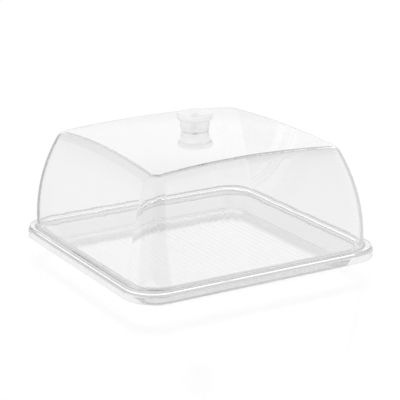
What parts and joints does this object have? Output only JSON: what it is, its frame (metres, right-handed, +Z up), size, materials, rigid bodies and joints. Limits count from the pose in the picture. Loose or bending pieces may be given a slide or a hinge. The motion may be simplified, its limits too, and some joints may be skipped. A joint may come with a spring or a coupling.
{
  "type": "covered pastry tray",
  "caption": "Square clear serving tray with a sunk well and a clear crowned dome that lifts off by a round clear knob.",
  "frame": {"origin": "middle of the tray's foot ring, on the surface that the tray stands on", "axes": "+Z up along the screw and the dome's lift; the tray's sides lie along X and Y, and the ribs of its floor run along Y"},
  "size_m": [0.3, 0.3, 0.1627],
  "materials": {
    "tray_clear": "clear polished moulding",
    "dome_clear": "clear polished moulding",
    "knob_clear": "clear, slightly milky, polished",
    "seal_clear": "clear silicone",
    "steel": "plain turned steel"
  },
  "bodies": {
    "tray": {"tray": "tray_clear"},
    "dome": {"dome": "dome_clear", "knob": "knob_clear", "knob_seal": "seal_clear", "knob_insert": "steel", "knob_washer": "steel", "knob_screw": "steel"}
  },
  "joints": [
    {"name": "dome_lift", "type": "slide", "parent": "tray", "child": "dome", "axis": [0, 0, 1], "range_m": [0, 0.15]}
  ]
}
